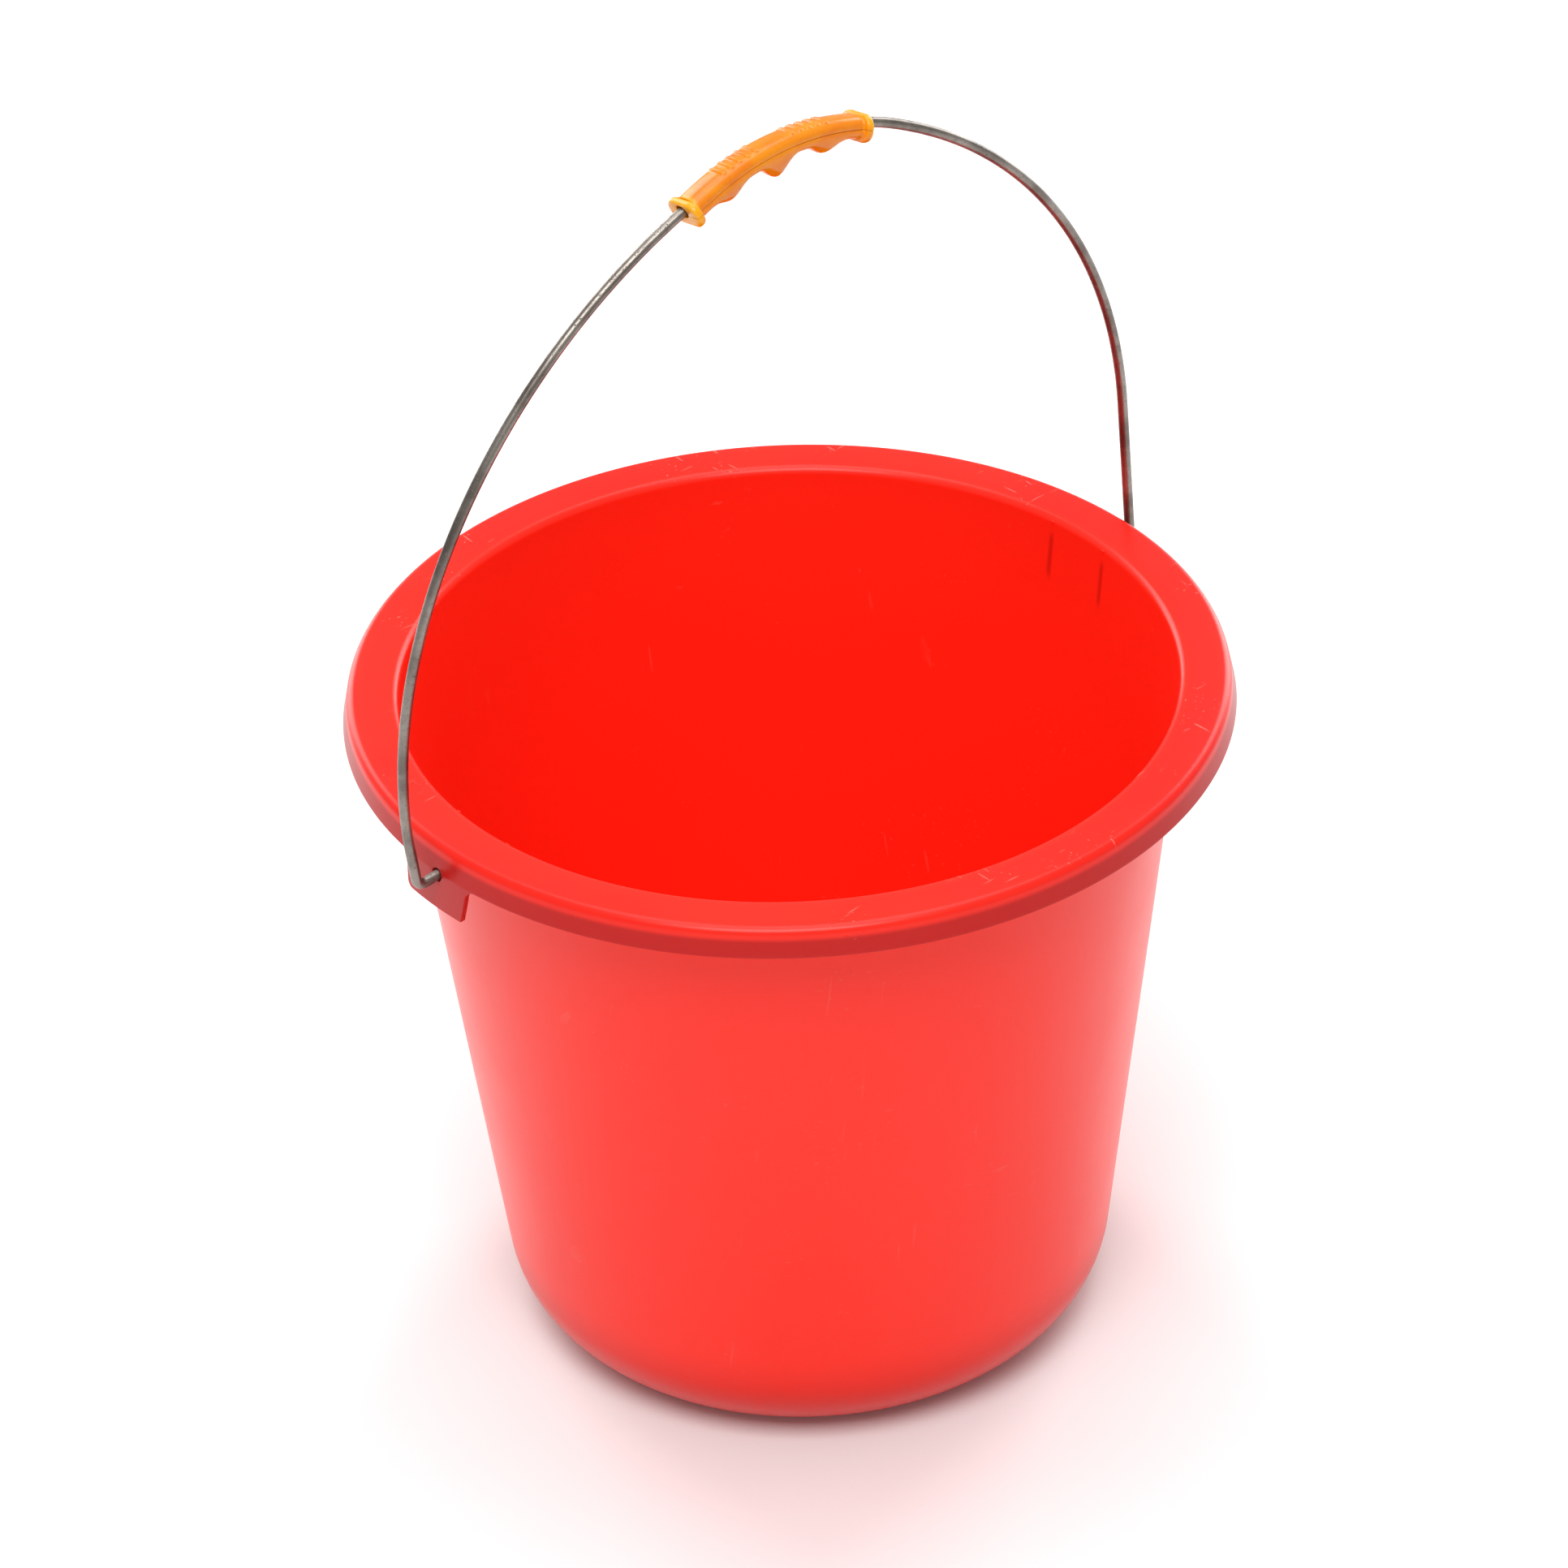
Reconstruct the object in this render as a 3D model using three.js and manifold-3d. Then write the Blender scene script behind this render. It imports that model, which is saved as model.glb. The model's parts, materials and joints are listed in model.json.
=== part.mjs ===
// Ten-litre household wash bucket: one moulded body with a flat rim and two ear tabs, a steel wire
// bail that hinges in the ears, and a two-piece plastic hand grip that is loose on the wire.
// Millimetres, +Z up. The origin is the centre of the underside, and the bail pivots about X.

import * as THREE from 'three';
import { mergeVertices } from 'three/addons/utils/BufferGeometryUtils.js';
import Module from 'manifold-3d';

const wasm = await Module();
wasm.setup();

const DEGREE = Math.PI / 180;

// Bucket body
const HEIGHT = 253;
const LATHE_STEPS = 64;
const PROFILE_ARC_STEPS = 3;
const WALL = 2;
const WALL_RADIUS_AT_BASE = 103.1;
const WALL_DRAFT = 7.06 * DEGREE;
const BASE_CORNER_RADIUS = 32.6;
const RIM_RADIUS = 150;
const RIM_THICKNESS = 2.5;
const RIM_CORNER_RADIUS = 3;
const SKIRT_DEPTH = 10.1;
const SKIRT_BOTTOM_RADIUS = 151.5;
const SKIRT_THICKNESS = 2.3;
const CENTRE_PAD_RADIUS = 16;
const FOOT_RING_INNER_RADIUS = 64;
const UNDERSIDE_RECESS = 1.6;
const FLOOR_THICKNESS = 2.2;

// Ear tabs, one at each end of the X axis
const EAR_DEPTH = 24.4;
const EAR_UPRIGHT_SIDE_Y = 17.6;
const EAR_SLANTED_TOP_Y = 13.6;
const EAR_SLANTED_FOOT_Y = 11.3;
const EAR_SMALL_FILLET = 1.5;
const EAR_LARGE_FILLET = 5.4;
const EAR_CORNER_RADIUS = 2.6;
const EAR_THICKNESS = 2.4;
const EAR_OUTER_RADIUS = 151.9;
const EAR_RIB_Y = 13;
const EAR_RIB_THICKNESS = 1.6;
const EAR_RIB_DEPTH = 11.5;
const PIVOT_DEPTH = 11;
const PIVOT_HOLE_RADIUS = 2.5;

// Bail wire, drawn in its own plane: x along the pivot, z away from it
const WIRE_RADIUS = 1.9;
const WIRE_SIDES = 12;
const BAIL_LEAN = 4.4 * DEGREE;
const BAIL_APEX_X = -6.6;
const BAIL_APEX_Z = 226.6;
const BAIL_TOP_RADIUS = 100;
const BAIL_BEND_RADIUS = 3.4;
const STUB_RISE = 8 * DEGREE;
const STUB_PIVOT_X = 150.6;
const LEFT_SIDE = { sign: -1, topAngle: 19 * DEGREE, radius: 186, foot: 159.5, end: 139 };
const RIGHT_SIDE = { sign: 1, topAngle: 27 * DEGREE, radius: 204, foot: 155.7, end: 134 };

// Hand grip, swept along the wire between its two end flanges
const GRIP_LEFT_X = -49.3;
const GRIP_RIGHT_X = 25;
const GRIP_TURN = -15 * DEGREE;
const GRIP_HALF_WIDTH = 5.6;
const CROWN_HEIGHT = 4.2;
const BELLY_HEIGHT = 3.6;
const SHOULDER = 0.6;
const SHELL_SQUARENESS = 2.6;
const SEAM_HALF_GAP = 0.15;
const WIRE_SEAT = 1.2;
const TUNNEL_HALF_WIDTH = 4.55;
const TUNNEL_WALL_HEIGHT = 1.4;
const TUNNEL_ROOF = [[2.3, 3.4], [3.4, 3.1]];
const TUNNEL_FLOOR_DEPTH = 2.3;
const TUNNEL_FLOOR = [[3.3, TUNNEL_FLOOR_DEPTH]];
const FLANGE_WIDTH = 15.4;
const FLANGE_HEIGHT = 9.5;
const FLANGE_THICKNESS = 2.6;
const FLANGE_CORNER_RADIUS = 4.2;
const FLANGE_HOLE_RADIUS = 2.6;
const END_BLOCK_LENGTH = 2.8;
const END_BLOCK_HOLE_RADIUS = 2.7;
const PEG_OFFSET = 3.9;
const PEG_RADIUS = 0.6;
const PEG_LENGTH = 1.4;
const SOCKET_CLEARANCE = 0.3;
const RIB_COUNT = 5;
const RIB_PITCH = 3.35;
const RIB_WIDTH = 1.3;
const RIB_RISE = 0.5;
const RIB_GROUP_OFFSET = 14;
const BUMP_OFFSET = 20.8;
const MIDDLE_BUMP_RISE = 5.6;
const SIDE_BUMP_RISE = 3.3;
const BUMP_REACH = 10;
const BUMP_WEB_WIDTH = 8;

const material = (color, roughness, metalness) =>
  new THREE.MeshStandardMaterial({ color, roughness, metalness });
const redPlastic = material('#e8261c', 0.38, 0);
const steel = material('#8b8177', 0.42, 0.9);
const orangePlastic = material('#f59a10', 0.35, 0);

// A closed geometry as a solid that can be joined and cut
function solidOf(geometry) {
  const bare = geometry.clone();
  bare.deleteAttribute('normal');
  bare.deleteAttribute('uv');
  const merged = mergeVertices(bare, 1e-4);
  return new wasm.Manifold(new wasm.Mesh({
    numProp: 3,
    vertProperties: new Float32Array(merged.attributes.position.array),
    triVerts: new Uint32Array(merged.index.array),
  }));
}

function geometryOf(solid) {
  const mesh = solid.getMesh();
  const geometry = new THREE.BufferGeometry();
  geometry.setAttribute('position', new THREE.BufferAttribute(mesh.vertProperties, 3));
  geometry.setIndex(new THREE.BufferAttribute(mesh.triVerts, 1));
  geometry.computeVertexNormals();
  return geometry;
}

function joined(solids) {
  return solids.reduce((whole, solid) => whole.add(solid));
}

function namedMesh(name, solid, finish) {
  const mesh = new THREE.Mesh(geometryOf(solid), finish);
  mesh.name = name;
  return mesh;
}

// A profile of (radius, height) points turned about Z
function turned(path, arcSteps) {
  return solidOf(new THREE.LatheGeometry(path.getPoints(arcSteps), LATHE_STEPS).rotateX(Math.PI / 2));
}

const wallRadiusAt = (z) => WALL_RADIUS_AT_BASE + z * Math.tan(WALL_DRAFT);

function bodyProfile() {
  const cornerCentre = wallRadiusAt(BASE_CORNER_RADIUS) - BASE_CORNER_RADIUS / Math.cos(WALL_DRAFT);
  const rimUnderside = HEIGHT - RIM_THICKNESS;
  const skirtBottom = HEIGHT - SKIRT_DEPTH;
  const innerOffset = WALL / Math.cos(WALL_DRAFT);
  const rimFilletZ = HEIGHT - RIM_CORNER_RADIUS;
  const rimInnerRadius = wallRadiusAt(rimFilletZ) - innerOffset;
  const floor = UNDERSIDE_RECESS + FLOOR_THICKNESS;
  const path = new THREE.Path();
  path.moveTo(0, 0);
  path.lineTo(CENTRE_PAD_RADIUS, 0);
  path.lineTo(CENTRE_PAD_RADIUS + UNDERSIDE_RECESS, UNDERSIDE_RECESS);
  path.lineTo(FOOT_RING_INNER_RADIUS, UNDERSIDE_RECESS);
  path.lineTo(FOOT_RING_INNER_RADIUS + UNDERSIDE_RECESS, 0);
  path.absarc(cornerCentre, BASE_CORNER_RADIUS, BASE_CORNER_RADIUS, -Math.PI / 2, -WALL_DRAFT, false);
  path.lineTo(wallRadiusAt(rimUnderside), rimUnderside);
  path.lineTo(RIM_RADIUS - SKIRT_THICKNESS, rimUnderside);
  path.lineTo(SKIRT_BOTTOM_RADIUS - SKIRT_THICKNESS, skirtBottom);
  path.lineTo(SKIRT_BOTTOM_RADIUS, skirtBottom);
  path.lineTo(RIM_RADIUS, rimFilletZ);
  path.absarc(RIM_RADIUS - RIM_CORNER_RADIUS, rimFilletZ, RIM_CORNER_RADIUS, 0, Math.PI / 2, false);
  path.lineTo(rimInnerRadius + RIM_CORNER_RADIUS, HEIGHT);
  path.absarc(rimInnerRadius + RIM_CORNER_RADIUS, rimFilletZ, RIM_CORNER_RADIUS,
    Math.PI / 2, Math.PI, false);
  path.absarc(cornerCentre, BASE_CORNER_RADIUS, BASE_CORNER_RADIUS - WALL,
    -WALL_DRAFT, -Math.PI / 2, true);
  path.lineTo(FOOT_RING_INNER_RADIUS, WALL);
  path.lineTo(FOOT_RING_INNER_RADIUS - UNDERSIDE_RECESS, floor);
  path.lineTo(0, floor);
  return path;
}

// Outline of an ear seen from outside: y across, z up. One side is upright with a rounded corner,
// the other slants in to a sharp corner, and concave fillets join both to the skirt.
function earOutline() {
  const top = HEIGHT - SKIRT_DEPTH / 2;
  const skirtBottom = HEIGHT - SKIRT_DEPTH;
  const bottom = HEIGHT - EAR_DEPTH;
  const slantedWide = EAR_SLANTED_TOP_Y + EAR_LARGE_FILLET;
  const uprightWide = EAR_UPRIGHT_SIDE_Y + EAR_SMALL_FILLET;
  const cornerY = EAR_UPRIGHT_SIDE_Y - EAR_CORNER_RADIUS;
  const shape = new THREE.Shape();
  shape.moveTo(-uprightWide, top);
  shape.lineTo(-uprightWide, skirtBottom);
  shape.absarc(-uprightWide, skirtBottom - EAR_SMALL_FILLET, EAR_SMALL_FILLET, Math.PI / 2, 0, true);
  shape.absarc(-cornerY, bottom + EAR_CORNER_RADIUS, EAR_CORNER_RADIUS, Math.PI, 1.5 * Math.PI, false);
  shape.lineTo(EAR_SLANTED_FOOT_Y, bottom);
  shape.absarc(slantedWide, skirtBottom - EAR_LARGE_FILLET, EAR_LARGE_FILLET, Math.PI, Math.PI / 2, true);
  shape.lineTo(slantedWide, top);
  return shape;
}

function earShellProfile() {
  const skirtBottom = HEIGHT - SKIRT_DEPTH;
  const top = skirtBottom + SKIRT_DEPTH / 2;
  const inner = EAR_OUTER_RADIUS - EAR_THICKNESS;
  const path = new THREE.Path();
  path.moveTo(inner, HEIGHT - EAR_DEPTH - 1);
  path.lineTo(EAR_OUTER_RADIUS, HEIGHT - EAR_DEPTH - 1);
  path.lineTo(SKIRT_BOTTOM_RADIUS, skirtBottom);
  path.lineTo(RIM_RADIUS, top);
  path.lineTo(RIM_RADIUS - 1, top);
  path.closePath();
  return path;
}

// Laid out along +X: x out of the bucket, y across, z up
function earTab() {
  const reach = 20;
  const block = new THREE.ExtrudeGeometry(earOutline(), {
    depth: reach, bevelEnabled: false, curveSegments: PROFILE_ARC_STEPS,
  });
  block.rotateX(Math.PI / 2);
  block.rotateZ(Math.PI / 2);
  block.translate(RIM_RADIUS - reach / 2, 0, 0);
  return solidOf(block).intersect(turned(earShellProfile(), 1));
}

function earRib(y) {
  const inner = wallRadiusAt(HEIGHT - EAR_RIB_DEPTH) - WALL;
  const outer = RIM_RADIUS - SKIRT_THICKNESS / 2 - 1;
  const height = EAR_RIB_DEPTH - RIM_THICKNESS / 2;
  const rib = new THREE.BoxGeometry(outer - inner, EAR_RIB_THICKNESS, height);
  rib.translate((outer + inner) / 2, y, HEIGHT - EAR_RIB_DEPTH + height / 2);
  return solidOf(rib);
}

function pivotHole() {
  const reach = 2 * (RIM_RADIUS - wallRadiusAt(HEIGHT) - EAR_THICKNESS);
  const hole = new THREE.CylinderGeometry(PIVOT_HOLE_RADIUS, PIVOT_HOLE_RADIUS, reach, 20);
  hole.rotateZ(Math.PI / 2);
  hole.translate(RIM_RADIUS, 0, HEIGHT - PIVOT_DEPTH);
  return solidOf(hole);
}

function bucketBody() {
  let body = turned(bodyProfile(), PROFILE_ARC_STEPS);
  for (const turn of [0, 180]) {
    const ear = joined([earTab(), earRib(-EAR_RIB_Y), earRib(EAR_RIB_Y)]);
    body = body.add(ear.rotate([0, 0, turn])).subtract(pivotHole().rotate([0, 0, turn]));
  }
  return namedMesh('bucket_body', body, redPlastic);
}

// A route through planned stations in the x-z plane. The cross-section's first axis stays on Y.
class Route extends THREE.Curve {
  constructor(points) {
    super();
    this.points = points;
  }

  get steps() {
    return this.points.length - 1;
  }

  getPointAt(u) {
    return this.points[Math.round(u * this.steps)].clone();
  }

  getTangentAt(u) {
    const at = Math.round(u * this.steps);
    const before = this.points[Math.max(at - 1, 0)];
    const after = this.points[Math.min(at + 1, this.steps)];
    return after.clone().sub(before).normalize();
  }

  computeFrenetFrames(segments) {
    const across = new THREE.Vector3(0, 1, 0);
    const stops = Array.from({ length: segments + 1 }, (_, i) => this.getTangentAt(i / segments));
    return {
      tangents: stops,
      normals: stops.map(() => across.clone()),
      binormals: stops.map((tangent) => tangent.clone().cross(across)),
    };
  }
}

function swept(section, route, curveSegments) {
  return solidOf(new THREE.ExtrudeGeometry(section, {
    steps: route.steps, extrudePath: route, curveSegments,
  }));
}

const planePoint = (x, z) => new THREE.Vector3(x, 0, z);

// Points on a circle about (x, z) from one angle to another, both counted from +Z towards +X
function arcPoints(x, z, radius, from, to, steps) {
  return Array.from({ length: steps + 1 }, (_, i) => {
    const angle = from + (to - from) * (i / steps);
    return planePoint(x + radius * Math.sin(angle), z + radius * Math.cos(angle));
  });
}

// The centres of one side's arcs, and the angle at which the straight leg leaves the side arc
function bailSide(side) {
  const topX = BAIL_APEX_X * side.sign;
  const topZ = BAIL_APEX_Z - BAIL_TOP_RADIUS;
  const sideX = topX + (BAIL_TOP_RADIUS - side.radius) * Math.sin(side.topAngle);
  const sideZ = topZ + (BAIL_TOP_RADIUS - side.radius) * Math.cos(side.topAngle);
  const towardsFoot = Math.atan2(side.foot - sideX, -sideZ);
  const legAngle = towardsFoot - Math.acos(side.radius / Math.hypot(side.foot - sideX, sideZ));
  return { topX, topZ, sideX, sideZ, legAngle };
}

// The centre of the bend between a leg and its stub, which rises inwards through the pivot point
function bendCentre(side, legAngle) {
  const startX = side.foot - BAIL_BEND_RADIUS * Math.sin(legAngle);
  const startZ = -BAIL_BEND_RADIUS * Math.cos(legAngle);
  const offStub = (startX - STUB_PIVOT_X) * Math.sin(STUB_RISE) + startZ * Math.cos(STUB_RISE);
  const along = (offStub - BAIL_BEND_RADIUS) / Math.sin(legAngle - STUB_RISE);
  return planePoint(startX + along * Math.cos(legAngle), startZ - along * Math.sin(legAngle));
}

// From the apex down to the stub's end: top arc, side arc, straight leg, foot bend and stub
function sidePoints(side) {
  const { topX, topZ, sideX, sideZ, legAngle } = bailSide(side);
  const top = arcPoints(topX, topZ, BAIL_TOP_RADIUS, 0, side.topAngle, 5);
  const flank = arcPoints(sideX, sideZ, side.radius, side.topAngle, legAngle, 20);
  const centre = bendCentre(side, legAngle);
  const bend = arcPoints(centre.x, centre.z, BAIL_BEND_RADIUS, legAngle, Math.PI + STUB_RISE, 6);
  const stubEnd = planePoint(side.end, (STUB_PIVOT_X - side.end) * Math.tan(STUB_RISE));
  const points = [...top, ...flank.slice(1), ...bend, stubEnd];
  return points.map((point) => planePoint(point.x * side.sign, point.z));
}

function bailWire() {
  const left = sidePoints(LEFT_SIDE).reverse();
  const right = sidePoints(RIGHT_SIDE);
  const section = new THREE.Shape().absarc(0, 0, WIRE_RADIUS, 0, 2 * Math.PI, false);
  const wire = swept(section, new Route([...left, ...right.slice(1)]), WIRE_SIDES / 2);
  return namedMesh('bail_wire', wire, steel);
}

// The arc of the wire above a given x, for any x on the two upper arcs of a side
function wireArcAt(x) {
  const side = x < BAIL_APEX_X ? LEFT_SIDE : RIGHT_SIDE;
  const { topX, topZ, sideX, sideZ } = bailSide(side);
  const onTop = Math.abs(x - BAIL_APEX_X) < BAIL_TOP_RADIUS * Math.sin(side.topAngle);
  return onTop
    ? { x: topX * side.sign, z: topZ, radius: BAIL_TOP_RADIUS }
    : { x: sideX * side.sign, z: sideZ, radius: side.radius };
}

// The angle of the wire's outward normal at x, counted from +Z towards +X
function wireAngle(x) {
  const arc = wireArcAt(x);
  return Math.asin((x - arc.x) / arc.radius);
}

// A point beside the wire's centre line: rise is measured along the outward normal
function besideWire(x, rise) {
  const arc = wireArcAt(x);
  const angle = wireAngle(x);
  const reach = arc.radius + rise;
  return planePoint(arc.x + reach * Math.sin(angle), arc.z + reach * Math.cos(angle));
}

// The grip's seam runs below the wire, which lies against the roof of the grip's tunnel
function gripRoute(fromX, toX, steps) {
  return new Route(Array.from({ length: steps + 1 }, (_, i) =>
    besideWire(fromX + (toX - fromX) * (i / steps), -WIRE_SEAT)));
}

// Half of a section above or below the seam, from its outer and inner edges: x across, y away
function halfSection(outer, inner, up) {
  return new THREE.Shape([...outer, ...inner].map(([x, y]) => new THREE.Vector2(x, y * up)));
}

function shellEdge(height) {
  const steps = 12;
  const squareness = 2 / SHELL_SQUARENESS;
  const dome = Array.from({ length: steps + 1 }, (_, i) => {
    const angle = Math.PI * (i / steps);
    const across = Math.abs(Math.cos(angle)) ** squareness * Math.sign(Math.cos(angle));
    return [GRIP_HALF_WIDTH * across, SHOULDER + (height - SHOULDER) * Math.sin(angle) ** squareness];
  });
  return [[GRIP_HALF_WIDTH, SEAM_HALF_GAP], ...dome, [-GRIP_HALF_WIDTH, SEAM_HALF_GAP]];
}

function flangeEdge() {
  const steps = 4;
  const cornerX = FLANGE_WIDTH / 2 - FLANGE_CORNER_RADIUS;
  const cornerY = FLANGE_HEIGHT / 2 - FLANGE_CORNER_RADIUS;
  const corner = (sign) => Array.from({ length: steps + 1 }, (_, i) => {
    const angle = (Math.PI / 2) * (i / steps + (sign < 0 ? 1 : 0));
    return [
      sign * cornerX + FLANGE_CORNER_RADIUS * Math.cos(angle),
      cornerY + FLANGE_CORNER_RADIUS * Math.sin(angle),
    ];
  });
  const side = [FLANGE_WIDTH / 2, SEAM_HALF_GAP];
  return [side, ...corner(1), ...corner(-1), [-side[0], side[1]]];
}

function tunnelEdge(up) {
  const right = [
    ...(up > 0 ? TUNNEL_ROOF : TUNNEL_FLOOR),
    [TUNNEL_HALF_WIDTH, TUNNEL_WALL_HEIGHT],
    [TUNNEL_HALF_WIDTH, SEAM_HALF_GAP],
  ];
  return [...right.map(([x, y]) => [-x, y]).reverse(), ...right];
}

// The part of a round hole about the wire that lies in one half
function holeEdge(radius, up) {
  const steps = 8;
  const centre = up * WIRE_SEAT;
  const lowest = Math.asin((SEAM_HALF_GAP - centre) / radius);
  return Array.from({ length: steps + 1 }, (_, i) => {
    const angle = Math.PI - lowest - (Math.PI - 2 * lowest) * (i / steps);
    return [radius * Math.cos(angle), centre + radius * Math.sin(angle)];
  });
}

// The two ends of the grip, each as the outer x of its flange and the way inwards
const gripEnds = [{ x: GRIP_LEFT_X, inwards: 1 }, { x: GRIP_RIGHT_X, inwards: -1 }];

function slice(outer, inner, up, fromX, toX, steps) {
  const route = gripRoute(Math.min(fromX, toX), Math.max(fromX, toX), steps);
  return swept(halfSection(outer, inner, up), route, 1);
}

function gripEnd({ x, inwards }, height, up) {
  const flangeInnerX = x + inwards * FLANGE_THICKNESS;
  const blockInnerX = flangeInnerX + inwards * END_BLOCK_LENGTH;
  return slice(flangeEdge(), holeEdge(FLANGE_HOLE_RADIUS, up), up, x, flangeInnerX, 1)
    .add(slice(shellEdge(height), holeEdge(END_BLOCK_HOLE_RADIUS, up), up,
      flangeInnerX - inwards * FLANGE_THICKNESS / 2, blockInnerX, 2));
}

// Two upright pins beside the wire in each end block, from one height to another about the seam
function endPins(radius, low, high) {
  const pins = [];
  for (const { x, inwards } of gripEnds) {
    const pinX = x + inwards * (FLANGE_THICKNESS + END_BLOCK_LENGTH / 2);
    for (const side of [-1, 1]) {
      const pin = new THREE.CylinderGeometry(radius, radius, high - low, 10);
      pin.rotateX(Math.PI / 2);
      pin.translate(0, side * PEG_OFFSET, (high + low) / 2);
      pin.rotateY(wireAngle(pinX));
      pin.translate(...besideWire(pinX, -WIRE_SEAT).toArray());
      pins.push(solidOf(pin));
    }
  }
  return joined(pins);
}

function gripShell(height, up) {
  const shellFromX = GRIP_LEFT_X + FLANGE_THICKNESS + END_BLOCK_LENGTH / 2;
  const shellToX = GRIP_RIGHT_X - FLANGE_THICKNESS - END_BLOCK_LENGTH / 2;
  const tube = slice(shellEdge(height), tunnelEdge(up), up, shellFromX, shellToX, 12);
  return joined([tube, ...gripEnds.map((end) => gripEnd(end, height, up))]);
}

const gripMiddleX = (GRIP_LEFT_X + GRIP_RIGHT_X) / 2;

function crownRibs() {
  const ribs = [];
  for (const group of [-RIB_GROUP_OFFSET, RIB_GROUP_OFFSET]) {
    for (let i = 0; i < RIB_COUNT; i += 1) {
      const x = gripMiddleX + group + (i - (RIB_COUNT - 1) / 2) * RIB_PITCH;
      ribs.push(slice(shellEdge(CROWN_HEIGHT + RIB_RISE), tunnelEdge(1), 1,
        x - RIB_WIDTH / 2, x + RIB_WIDTH / 2, 1));
    }
  }
  return joined(ribs);
}

// How far the belly's web stands below the lower shell: three rounded bumps, four finger grooves
function bumpRise(x) {
  const rises = [-1, 0, 1].map((place) => {
    const away = Math.min(Math.abs(x - gripMiddleX - place * BUMP_OFFSET) / BUMP_REACH, 1);
    const rise = place === 0 ? MIDDLE_BUMP_RISE : SIDE_BUMP_RISE;
    return rise * (0.5 + 0.5 * Math.cos(Math.PI * away)) ** 1.4;
  });
  return Math.max(...rises);
}

function fingerWeb() {
  const steps = 30;
  const fromX = GRIP_LEFT_X + FLANGE_THICKNESS / 2;
  const toX = GRIP_RIGHT_X - FLANGE_THICKNESS / 2;
  const stops = Array.from({ length: steps + 1 }, (_, i) => fromX + (toX - fromX) * (i / steps));
  const belly = WIRE_SEAT + BELLY_HEIGHT - SHOULDER;
  const lower = stops.map((x) => besideWire(x, -belly - bumpRise(x)));
  const upper = stops.map((x) => besideWire(x, -WIRE_SEAT - TUNNEL_FLOOR_DEPTH - SEAM_HALF_GAP)).reverse();
  const outline = [...lower, ...upper].map((point) => new THREE.Vector2(point.x, point.z));
  const web = new THREE.ExtrudeGeometry(new THREE.Shape(outline), {
    depth: BUMP_WEB_WIDTH, bevelEnabled: false,
  });
  web.rotateX(Math.PI / 2);
  web.translate(0, BUMP_WEB_WIDTH / 2, 0);
  return solidOf(web);
}

function gripUpperHalf() {
  const sockets = endPins(PEG_RADIUS + SOCKET_CLEARANCE, -SEAM_HALF_GAP, PEG_LENGTH + SOCKET_CLEARANCE);
  const half = gripShell(CROWN_HEIGHT, 1).add(crownRibs()).subtract(sockets);
  return namedMesh('grip_upper_half', half, orangePlastic);
}

function gripLowerHalf() {
  const pegs = endPins(PEG_RADIUS, -PEG_LENGTH, PEG_LENGTH);
  const half = joined([gripShell(BELLY_HEIGHT, -1), fingerWeb(), pegs]);
  return namedMesh('grip_lower_half', half, orangePlastic);
}

// The grip halves turn together about the line through the two flange holes
function handGrip() {
  const start = besideWire(GRIP_LEFT_X, 0);
  const axis = besideWire(GRIP_RIGHT_X, 0).sub(start).normalize();
  const halves = new THREE.Group();
  halves.add(gripUpperHalf(), gripLowerHalf());
  halves.position.copy(start).negate();
  const grip = new THREE.Group();
  grip.add(halves);
  grip.position.copy(start);
  grip.quaternion.setFromAxisAngle(axis, GRIP_TURN);
  return grip;
}

const bail = new THREE.Group();
bail.add(bailWire(), handGrip());
bail.position.z = HEIGHT - PIVOT_DEPTH;
bail.rotation.x = BAIL_LEAN;

const washBucket = new THREE.Group();
washBucket.add(bucketBody(), bail);
export default washBucket;
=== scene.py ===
import json
import math

import bmesh
import bpy
from mathutils import Matrix, Vector, noise


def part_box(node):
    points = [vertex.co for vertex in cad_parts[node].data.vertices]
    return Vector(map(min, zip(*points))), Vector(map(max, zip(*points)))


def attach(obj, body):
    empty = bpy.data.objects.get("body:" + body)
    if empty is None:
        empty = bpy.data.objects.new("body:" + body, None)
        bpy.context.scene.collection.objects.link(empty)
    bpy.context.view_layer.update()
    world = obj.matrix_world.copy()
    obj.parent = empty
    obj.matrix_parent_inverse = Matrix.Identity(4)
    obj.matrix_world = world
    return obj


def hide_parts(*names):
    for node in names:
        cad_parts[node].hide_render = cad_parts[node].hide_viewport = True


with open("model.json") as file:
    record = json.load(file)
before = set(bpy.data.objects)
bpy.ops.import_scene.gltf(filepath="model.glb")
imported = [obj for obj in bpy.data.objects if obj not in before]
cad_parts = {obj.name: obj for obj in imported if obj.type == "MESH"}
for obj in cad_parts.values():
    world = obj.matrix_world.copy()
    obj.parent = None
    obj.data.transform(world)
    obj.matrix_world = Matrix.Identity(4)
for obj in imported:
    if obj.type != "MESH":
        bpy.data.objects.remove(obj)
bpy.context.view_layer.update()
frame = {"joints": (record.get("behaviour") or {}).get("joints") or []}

MM = 0.001

# Camera, floor and light. A long lens looks down into the bucket from its near left side, and the
# bucket stands on a plain pale floor between four soft white panels: in front, overhead and two behind.
rim_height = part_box("bucket_body")[1].z
LENS = 169.44
AZIMUTH = math.radians(-38.77)
ELEVATION = math.radians(34.19)
ROLL = math.radians(-2.28)
CAMERA_DISTANCE = 2.5204
AIM_BELOW_RIM = 0.045

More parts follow.
